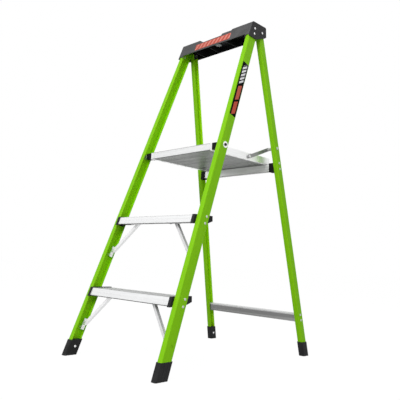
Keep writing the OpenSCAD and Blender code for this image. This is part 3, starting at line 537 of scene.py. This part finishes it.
finishes = {
    "frontRail": fibreglassFinish("fibreglassFront", rails["front"], fibreglass["insideFront"]),
    "rearRail": fibreglassFinish("fibreglassRear", rails["rear"], fibreglass["insideRear"]),
    "cap": mouldedFinish("capMoulding", (0.069, 0.069, 0.070), (0.092, 0.092, 0.094),
                         scuff=0.5, gloss=0.14, capped=True),
    "black": mouldedFinish("blackMoulding", (0.014, 0.014, 0.0145), (0.022, 0.022, 0.023),
                           scuff=0.6, gloss=0.14),
    "blackSmooth": mouldedFinish("blackSmoothMoulding", (0.005, 0.005, 0.0055), (0.009, 0.009, 0.010),
                                 scuff=0.3, gloss=0.09),
    "nylon": mouldedFinish("spacerNylon", (0.42, 0.42, 0.40), (0.50, 0.50, 0.48), scuff=0.2, gloss=0.3),
    "treadLower": bandedFinish("lowerTreadAluminium", "tread_lower", treadTone),
    "treadUpper": bandedFinish("upperTreadAluminium", "tread_upper", treadTone),
    "plank": bandedFinish("deckAluminium", "deck_plank_2", plankTone),
    "bar": bandedFinish("barAluminium", "rear_crossbar", barTone),
    "lowerBar": bandedFinish("lowerBarAluminium", "lower_brace", lowerBarTone),
    "side": extrudedFinish("sideAluminium", (0.96, 0.96, 0.965), metal=1.0, stretch=(1, 0.02, 1)),
    "link": extrudedFinish("linkSteel", (0.34, 0.34, 0.345), metal=0.6, stretch=(1, 0.03, 1)),
    # one zinc-plated finish in two copies: paler and shinier on the left braces as painted light, darker on
    # the right ones as painted shade
    "braceLeftLit": platedFinish("braceZincLeftLit", (0.93, 0.93, 0.935), roughness=0.26, metal=0.72),
    "braceRightShaded": platedFinish("braceZincRightShaded", (0.80, 0.80, 0.81), roughness=0.34, metal=0.45),
    "washer": platedFinish("washerSteel", (0.96, 0.96, 0.96), roughness=0.20, metal=0.9),
    "rivet": platedFinish("rivetAluminium", (0.86, 0.86, 0.86), roughness=0.28, metal=0.6),
    "rivetDull": platedFinish("rivetAluminiumDull", (0.58, 0.60, 0.55), roughness=0.36, metal=0.6),
    "pin": platedFinish("pinSteel", (0.86, 0.86, 0.86), roughness=0.24, metal=0.7),
    "hingePin": platedFinish("hingePinSteel", (0.86, 0.86, 0.86), roughness=0.24, metal=0.7,
                             pin="hinge_pin_left"),
    "bolt": platedFinish("boltBlack", (0.02, 0.02, 0.022), roughness=0.38, metal=0.5),
    "blackStrip": vinylFinish("plainStripBlack", (0.0035, 0.0035, 0.004), railBars),
    "redStrip": vinylFinish("plainStripRed", (0.53, 0.110, 0.080), capHatch),
}
print("finishes made:", len(finishes))


meshing = {
    "merge": 0.00001,       # doubles closer than this are joined
    "flat": 0.6,            # faces within this angle become one, in degrees
    "breakAngle": 30,       # edges sharper than this are broken
    "smoothAngle": 32,
}


def selectOnly(piece):
    bpy.ops.object.select_all(action="DESELECT")
    piece.select_set(True)
    bpy.context.view_layer.objects.active = piece


def editFaces(piece, test):
    # goes into edit mode with the faces selected whose centre and normal pass the test
    selectOnly(piece)
    mesh = piece.data
    mesh.vertices.foreach_set("select", [False] * len(mesh.vertices))
    mesh.edges.foreach_set("select", [False] * len(mesh.edges))
    mesh.polygons.foreach_set("select", [bool(test(face.center, face.normal)) for face in mesh.polygons])
    bpy.context.tool_settings.mesh_select_mode = (False, False, True)
    bpy.ops.object.mode_set(mode="EDIT")


def leaveEdit():
    bpy.ops.object.mode_set(mode="OBJECT")


def applyModifier(piece, kind, **settings):
    modifier = piece.modifiers.new(kind.lower(), kind)
    for key, value in settings.items():
        setattr(modifier, key, value)
    selectOnly(piece)
    bpy.ops.object.modifier_apply(modifier=modifier.name)


def mergedCopy(node):
    # a copy of a solid's mesh with its triangles joined into faces
    piece = bpy.data.objects.new(node + "_look", frame["nodes"][node].data.copy())
    bpy.context.scene.collection.objects.link(piece)
    selectOnly(piece)
    bpy.ops.mesh.customdata_custom_splitnormals_clear()
    bpy.ops.object.mode_set(mode="EDIT")
    bpy.ops.mesh.select_all(action="SELECT")
    bpy.ops.mesh.remove_doubles(threshold=meshing["merge"])
    bpy.ops.mesh.dissolve_limited(angle_limit=math.radians(meshing["flat"]))
    leaveEdit()
    return piece


def sinkGrooves(piece, test, origin, across, grooves, inward):
    # cuts strips into the faces that pass the test, and sinks them
    origin, across = Vector(origin), Vector(across).normalized()
    for place in (edge for groove in grooves for edge in groove):
        editFaces(piece, test)
        bpy.ops.mesh.bisect(plane_co=origin + across * place, plane_no=across)
        leaveEdit()

    def inGroove(centre, normal):
        offset = (centre - origin).dot(across)
        return test(centre, normal) and any(low < offset < high for low, high in grooves)

    editFaces(piece, inGroove)
    bpy.ops.mesh.extrude_region_move(TRANSFORM_OT_translate={"value": inward})
    leaveEdit()


def soften(piece, width, segments=2):
    # breaks the edges, and keeps the flat faces flat in the shading
    applyModifier(piece, "BEVEL", width=width, segments=segments, limit_method="ANGLE",
                  angle_limit=math.radians(meshing["breakAngle"]), miter_outer="MITER_ARC")
    selectOnly(piece)
    bpy.ops.object.shade_smooth_by_angle(angle=math.radians(meshing["smoothAngle"]))
    applyModifier(piece, "WEIGHTED_NORMAL", keep_sharp=True)


def dress(piece, finish, body, nodes=()):
    piece.data.materials.clear()
    piece.data.materials.append(finishes[finish])
    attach(piece, body)
    if nodes:
        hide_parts(*nodes)


def dressNode(piece, node, finish):
    dress(piece, finish, bodyOf[node], [node])


# start of a node's name: edge width in millimetres, finish
softEdges = {
    "front_rail": (0.5, "frontRail"), "rear_rail": (0.5, "rearRail"),
    "hinge_pin": (1.2, "hingePin"), "hinge_block": (0.5, "black"),
    "step_bracket": (0.9, "black"), "knee_brace": (0.6, "brace"), "brace_spacers": (0.3, "pin"),
    "brace_rivets": (0.6, "rivet"), "platform_side": (0.35, "side"), "platform_rivets": (0.5, "rivet"),
    "deck_plank": (0.25, "plank"), "pivot_block": (1.2, "blackSmooth"), "pivot_washers": (0.6, "washer"),
    "pivot_nuts": (0.5, "pin"), "pivot_spacers": (0.3, "nylon"), "link_spacers": (0.3, "nylon"),
    "link_front_rivet": (0.6, "rivet"), "link_rear_rivets": (0.6, "rivetDull"),
    "link_left": (0.5, "link"), "link_right": (0.5, "link"),
    "rear_crossbar": (0.4, "bar"), "crossbar_bracket": (1.0, "blackSmooth"),
    "lower_brace": (0.5, "lowerBar"), "top_cap": (1.4, "cap"),
}
# starts of the names of the nodes that get more than soft edges, further down
shaped = ("tread", "deck_plank_1", "front_foot", "rear_foot", "pivot_bolt", "cap_rivets", "step_rivets",
          "crossbar_rivets", "lower_brace_rivets", "brace_rivets")

for node in sorted(bodyOf):
    if node.startswith(shaped):
        continue
    prefix = max((key for key in softEdges if node.startswith(key)), key=len)
    width, finish = softEdges[prefix]
    piece = mergedCopy(node)
    soften(piece, width * mm)
    # left braces take the painted-light copy, right ones the painted-shade copy
    if finish == "brace":
        finish = "braceLeftLit" if node.endswith("left") else "braceRightShaded"
    dressNode(piece, node, finish)
print("plain solids dressed")

treads = {
    "grooves": ((-12.6, -11.4), (-0.6, 0.6), (11.4, 12.6)),     # along the front, from its middle
    "depth": 0.4,
    "edge": 0.6,
    "facing": 0.99,         # how squarely a face looks forward to belong to the front
    "reach": 10.0,          # and how near it lies to the foremost point
}


def inMetres(grooves):
    return [(start * mm, end * mm) for start, end in grooves]


def addTread(node, finish):
    piece = mergedCopy(node)
    lean = math.radians(rails["front"]["lean"])
    outward = Vector((0, -math.cos(lean), math.sin(lean)))
    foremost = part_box(node)[0][1]

    def atFront(centre, normal):
        return normal.dot(outward) > treads["facing"] and centre.y < foremost + treads["reach"] * mm

    middle = next(face.center for face in piece.data.polygons if atFront(face.center, face.normal))
    sinkGrooves(piece, atFront, middle, (0, math.sin(lean), math.cos(lean)),
                inMetres(treads["grooves"]), -outward * treads["depth"] * mm)
    soften(piece, treads["edge"] * mm)
    dressNode(piece, node, finish)


addTread("tread_lower", "treadLower")
addTread("tread_upper", "treadUpper")

nose = {
    "grooves": ((5.4, 6.6), (22.0, 23.2)),      # along the nose, up from its lower edge
    "depth": 0.4,
    "edge": 0.4,
    "facing": 0.99,
    "reach": 0.2,
}


def addNosePlank():
    node = "deck_plank_1"
    piece = mergedCopy(node)
    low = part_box(node)[0]

    def atFront(centre, normal):
        return -normal.y > nose["facing"] and centre.y < low[1] + nose["reach"] * mm

    sinkGrooves(piece, atFront, low, (0, 0, 1), inMetres(nose["grooves"]),
                Vector((0, nose["depth"] * mm, 0)))
    soften(piece, nose["edge"] * mm)
    dressNode(piece, node, "plank")


addNosePlank()
print("treads and platform nose grooved")

feet = {
    "grooves": ((-7.6, -6.2), (6.2, 7.6)),      # upright in the outer face, from its middle
    "depth": 0.7,
    "edge": 1.3,
    "middle": 31.0,         # half a foot's height
    "wall": 1.5,            # the outer face lies further out than this from the rail
    "facing": 0.95,
}


def addFoot(node, rail, side):
    piece = mergedCopy(node)
    axes = railFrame(rail, feet["middle"] * mm, side)
    outward, back = Vector(axes.col[0][:3]), Vector(axes.col[1][:3])
    middle = axes.translation
    skin = rail["width"] / 2 + feet["wall"] * mm

    def atOuterFace(centre, normal):
        return normal.dot(outward) > feet["facing"] and (centre - middle).dot(outward) > skin

    sinkGrooves(piece, atOuterFace, middle, back, inMetres(feet["grooves"]),
                -outward * feet["depth"] * mm)
    soften(piece, feet["edge"] * mm, segments=3)
    dressNode(piece, node, "black")


for side, name in ((1, "right"), (-1, "left")):
    addFoot("front_foot_" + name, rails["front"], side)
    addFoot("rear_foot_" + name, rails["rear"], side)
print("feet shaped")

rivet = {
    "radius": 5.1, "shank": 3.0, "rim": 0.4, "head": 1.92,
    "dome": ((4.7, 0.95), (3.9, 1.45), (2.9, 1.75), (2.0, 1.90)),      # radius and height of its rings
    "pocket": (1.3, 0.8),   # radius and depth of the mandrel's hole
    "sides": 28,
    "shankLength": 10.0,    # of the model, which each copy then stretches
    "tailRadius": 4.5, "tailLength": 2.0,
    "snap": 0.02,           # places closer than this are one
    "flat": 0.9,            # how squarely a face looks along the rivet to belong to its underside
    "smoothAngle": 38,
}


def rivetModel(name, tail):
    # a blind rivet along Z: its head stands on z = 0 and its shank goes down
    bpy.ops.object.select_all(action="DESELECT")
    bpy.ops.mesh.primitive_circle_add(vertices=rivet["sides"], radius=rivet["radius"] * mm,
                                      fill_type="NGON")
    piece = bpy.context.object
    piece.name = name
    editFaces(piece, lambda centre, normal: True)
    bpy.ops.mesh.extrude_region_move(TRANSFORM_OT_translate={"value": (0, 0, rivet["rim"] * mm)})
    radius, height = rivet["radius"], rivet["rim"]
    for nextRadius, nextHeight in rivet["dome"]:
        bpy.ops.mesh.inset(thickness=(radius - nextRadius) * mm)
        bpy.ops.transform.translate(value=(0, 0, (nextHeight - height) * mm))
        radius, height = nextRadius, nextHeight
    pocket, depth = rivet["pocket"]
    bpy.ops.mesh.inset(thickness=(radius - pocket) * mm)
    bpy.ops.mesh.extrude_region_move(TRANSFORM_OT_translate={"value": (0, 0, -depth * mm)})
    leaveEdit()
    editFaces(piece, lambda centre, normal: (abs(centre.z) < rivet["snap"] * mm
                                             and abs(normal.z) > rivet["flat"]))
    bpy.ops.mesh.inset(thickness=(rivet["radius"] - rivet["shank"]) * mm)
    bpy.ops.mesh.extrude_region_move(TRANSFORM_OT_translate={"value": (0, 0, -rivet["shankLength"] * mm)})
    if tail:
        widen = rivet["tailRadius"] / rivet["shank"]
        bpy.ops.mesh.extrude_region_move()
        bpy.ops.transform.resize(value=(widen, widen, 1), center_override=(0, 0, -rivet["shankLength"] * mm))
        bpy.ops.mesh.extrude_region_move(TRANSFORM_OT_translate={"value": (0, 0, -rivet["tailLength"] * mm)})
    bpy.ops.mesh.select_all(action="SELECT")
    bpy.ops.mesh.normals_make_consistent(inside=False)
    leaveEdit()
    selectOnly(piece)
    bpy.ops.object.shade_smooth_by_angle(angle=math.radians(rivet["smoothAngle"]))
    return piece


def islands(node):
    # the separate solids of a node, each as a list of points
    mesh = frame["nodes"][node].data
    keys = [tuple(round(value / (rivet["snap"] * mm)) for value in vertex.co) for vertex in mesh.vertices]
    head = {key: key for key in keys}

    def root(key):
        while head[key] != key:
            head[key] = head[head[key]]
            key = head[key]
        return key

    for face in mesh.polygons:
        first, *others = (keys[index] for index in face.vertices)
        for other in others:
            head[root(other)] = root(first)
    groups = {}
    for key, vertex in zip(keys, mesh.vertices):
        groups.setdefault(root(key), {})[key] = vertex.co.copy()
    return [list(points.values()) for points in groups.values()]


def addRivets(node, rail, finish, headInside=False, tail=False):
    # domed rivets in the places of a node's plain ones
    model = rivetModel(node + "_model", tail)
    copies = []
    for points in islands(node):
        side = 1 if sum(point.x for point in points) > 0 else -1
        axis = Vector(railFrame(rail, 0, side).col[0][:3]) * (-1 if headInside else 1)
        reaches = [point.dot(axis) for point in points]
        top, bottom = max(reaches), min(reaches)
        ring = [point for point, far in zip(points, reaches) if far > top - rivet["snap"] * mm]
        base = sum(ring, Vector()) / len(ring) - axis * rivet["head"] * mm
        length = top - bottom - rivet["head"] * mm - (rivet["tailLength"] * mm if tail else 0)
        copy = bpy.data.objects.new(node + "_copy", model.data.copy())
        bpy.context.scene.collection.objects.link(copy)
        for vertex in copy.data.vertices:
            if vertex.co.z < -rivet["shankLength"] * mm / 2:
                vertex.co.z -= length - rivet["shankLength"] * mm
        copy.data.transform(Matrix.Translation(base) @ axis.to_track_quat("Z", "Y").to_matrix().to_4x4())
        copies.append(copy)
    bpy.data.objects.remove(model)
    bpy.ops.object.select_all(action="DESELECT")
    for copy in copies:
        copy.select_set(True)
    bpy.context.view_layer.objects.active = copies[0]
    bpy.ops.object.join()
    piece = bpy.context.object
    piece.name = node + "_look"
    dressNode(piece, node, finish)


addRivets("cap_rivets", rails["front"], "rivet", tail=True)
addRivets("step_rivets", rails["front"], "rivetDull")
addRivets("crossbar_rivets", rails["rear"], "rivetDull")
addRivets("lower_brace_rivets", rails["rear"], "rivetDull")
addRivets("front_foot_rivets", rails["front"], "rivet", headInside=True)
addRivets("rear_foot_rivets", rails["rear"], "rivet", headInside=True)


def addBraceRivets():
    # their flush outer ends are painted as the rails are
    node = "brace_rivets"
    piece = mergedCopy(node)
    width, finish = softEdges[node]
    soften(piece, width * mm)
    dressNode(piece, node, finish)
    piece.data.materials.append(finishes["frontRail"])
    rail = rails["front"]
    for face in piece.data.polygons:
        side = 1 if face.center.x > 0 else -1
        local = railFrame(rail, 0, side).inverted() @ face.center
        if local.x > rail["width"] / 2 - rail["wall"]:
            face.material_index = 1


addBraceRivets()
print("rivets set")

bolt = {
    "socket": 3.3,              # radius of the hexagon socket, across its corners
    "depth": 2.2,
    "edge": 0.7,
}


def addBolt(node):
    piece = mergedCopy(node)
    soften(piece, bolt["edge"] * mm)
    low, high = (Vector(corner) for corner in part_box(node))
    side = 1 if low.x + high.x > 0 else -1
    outer = high.x if side > 0 else low.x
    middle = (low + high) / 2
    bpy.ops.object.select_all(action="DESELECT")
    bpy.ops.mesh.primitive_cylinder_add(vertices=6, radius=bolt["socket"] * mm, depth=2 * bolt["depth"] * mm,
                                        location=(outer, middle.y, middle.z), rotation=(0, math.pi / 2, 0))
    cutter = bpy.context.object
    applyModifier(piece, "BOOLEAN", operation="DIFFERENCE", object=cutter, solver="EXACT")
    bpy.data.objects.remove(cutter)
    selectOnly(piece)
    bpy.ops.object.shade_smooth_by_angle(angle=math.radians(meshing["smoothAngle"]))
    dressNode(piece, node, "bolt")


addBolt("pivot_bolt_left")
addBolt("pivot_bolt_right")
print("pivot bolts cut")


def addStrip(name, width, height, place, finish, body):
    # a thin plate with rounded corners, its face along the place's z axis
    bpy.ops.object.select_all(action="DESELECT")
    bpy.ops.mesh.primitive_plane_add(size=1)
    piece = bpy.context.object
    piece.name = name
    editFaces(piece, lambda centre, normal: True)
    bpy.ops.transform.resize(value=(width * mm, height * mm, 1))
    bpy.ops.mesh.bevel(offset=strips["corner"] * mm, segments=strips["cornerSteps"], affect="VERTICES")
    bpy.ops.mesh.extrude_region_move(TRANSFORM_OT_translate={"value": (0, 0, strips["thick"] * mm)})
    bpy.ops.mesh.select_all(action="SELECT")
    bpy.ops.mesh.normals_make_consistent(inside=False)
    leaveEdit()
    piece.data.transform(place)
    applyModifier(piece, "BEVEL", width=strips["edge"] * mm, segments=2, limit_method="ANGLE",
                  angle_limit=math.radians(strips["edgeAngle"]))
    bpy.ops.object.shade_smooth_by_angle(angle=math.radians(strips["smoothAngle"]))
    dress(piece, finish, body)


def addStrips():
    rail = rails["front"]
    low, high = (railFrame(rail, strips[key]) for key in ("railLow", "railHigh"))
    length = (high.translation - low.translation).length / mm
    axes = railFrame(rail, (strips["railLow"] + strips["railHigh"]) / 2)
    seat = Matrix.Translation((rail["width"] / 2, strips["railShift"] * mm, 0))
    face = Matrix(((0, 0, 1), (1, 0, 0), (0, 1, 0))).to_4x4()      # the plate's face to the rail's outer side
    addStrip("rail_strip", strips["railWidth"], length, axes @ seat @ face, "blackStrip",
             "front_frame")
    lean = math.radians(rail["lean"])
    z = strips["capMiddle"]
    place = Vector((strips["capShift"] * mm, rail["y"] + z * math.tan(lean)
                    - capTone["frontFace"] / math.cos(lean), z))
    front = Matrix(((1, 0, 0), (0, math.sin(lean), -math.cos(lean)), (0, math.cos(lean), math.sin(lean))))
    addStrip("cap_strip", strips["capWidth"], strips["capHeight"], Matrix.Translation(place) @ front.to_4x4(),
             "redStrip", "front_frame")


addStrips()
print("strips laid")

studio = {
    "world": 0.62,
    "key": {"place": (0.9, -3.1, 2.7), "aim": (0, 0, 0.7), "size": 2.2, "power": 79},
    "fill": {"place": (3.2, -1.0, 0.45), "aim": (0, 0, 0.6), "size": 2.4, "power": 14},
    "top": {"place": (0.2, 0.8, 3.6), "aim": (0, 0, 0.8), "size": 2.0, "power": 20},
    "floorSize": 40, "floorDrop": 0.0003,
    "floor": 0.30,              # what the floor gives back to the object
    "shown": 0.86,              # how much of the floor's glow the camera sees over its own shading
    "glow": 1.13,
}


def addLamp(name):
    lamp = studio[name]
    place = Vector(lamp["place"])
    bpy.ops.object.light_add(type="AREA", location=place)
    light = bpy.context.object
    light.name = name
    light.data.shape = "DISK"
    light.data.size = lamp["size"]
    light.data.energy = lamp["power"]
    light.rotation_euler = (Vector(lamp["aim"]) - place).to_track_quat("-Z", "Y").to_euler()


def seenRays(t):
    # 1 for what the camera sees straight on, by reflection or through something clear
    seen, gloss, clear = (t.node("ShaderNodeLightPath", output=ray)
                          for ray in ("Is Camera Ray", "Is Glossy Ray", "Is Transmission Ray"))
    return seen + gloss + clear


def addFloor():
    bpy.ops.object.select_all(action="DESELECT")
    bpy.ops.mesh.primitive_plane_add(size=studio["floorSize"], location=(0, 0, -studio["floorDrop"]))
    floor = bpy.context.object
    floor.name = "floor"
    t = Tree(bpy.data.materials.new("paleFloor"))
    level = studio["floor"]
    matt = t.node("ShaderNodeBsdfDiffuse", values={"Color": (level, level, level, 1)})
    glow = t.node("ShaderNodeEmission", values={"Strength": studio["glow"]})
    blend = t.node("ShaderNodeMixShader", values=[seenRays(t) * studio["shown"], matt, glow])
    t.node("ShaderNodeOutputMaterial", values={"Surface": blend})
    floor.data.materials.append(t.owner)


def lightWorld():
    # the world lights the object at its own level, and shows white to the camera and in reflections
    world = bpy.data.worlds.new("studio")
    bpy.context.scene.world = world
    t = Tree(world)
    level = t.node("ShaderNodeMapRange", values={"Value": seenRays(t), "To Min": studio["world"]},
                   output="Result")
    sky = t.node("ShaderNodeBackground", values={"Color": (1, 1, 1, 1), "Strength": level})
    t.node("ShaderNodeOutputWorld", values={"Surface": sky})


for name in ("key", "fill", "top"):
    addLamp(name)
addFloor()
lightWorld()
bpy.context.scene.view_settings.view_transform = "Standard"
print("studio lit")
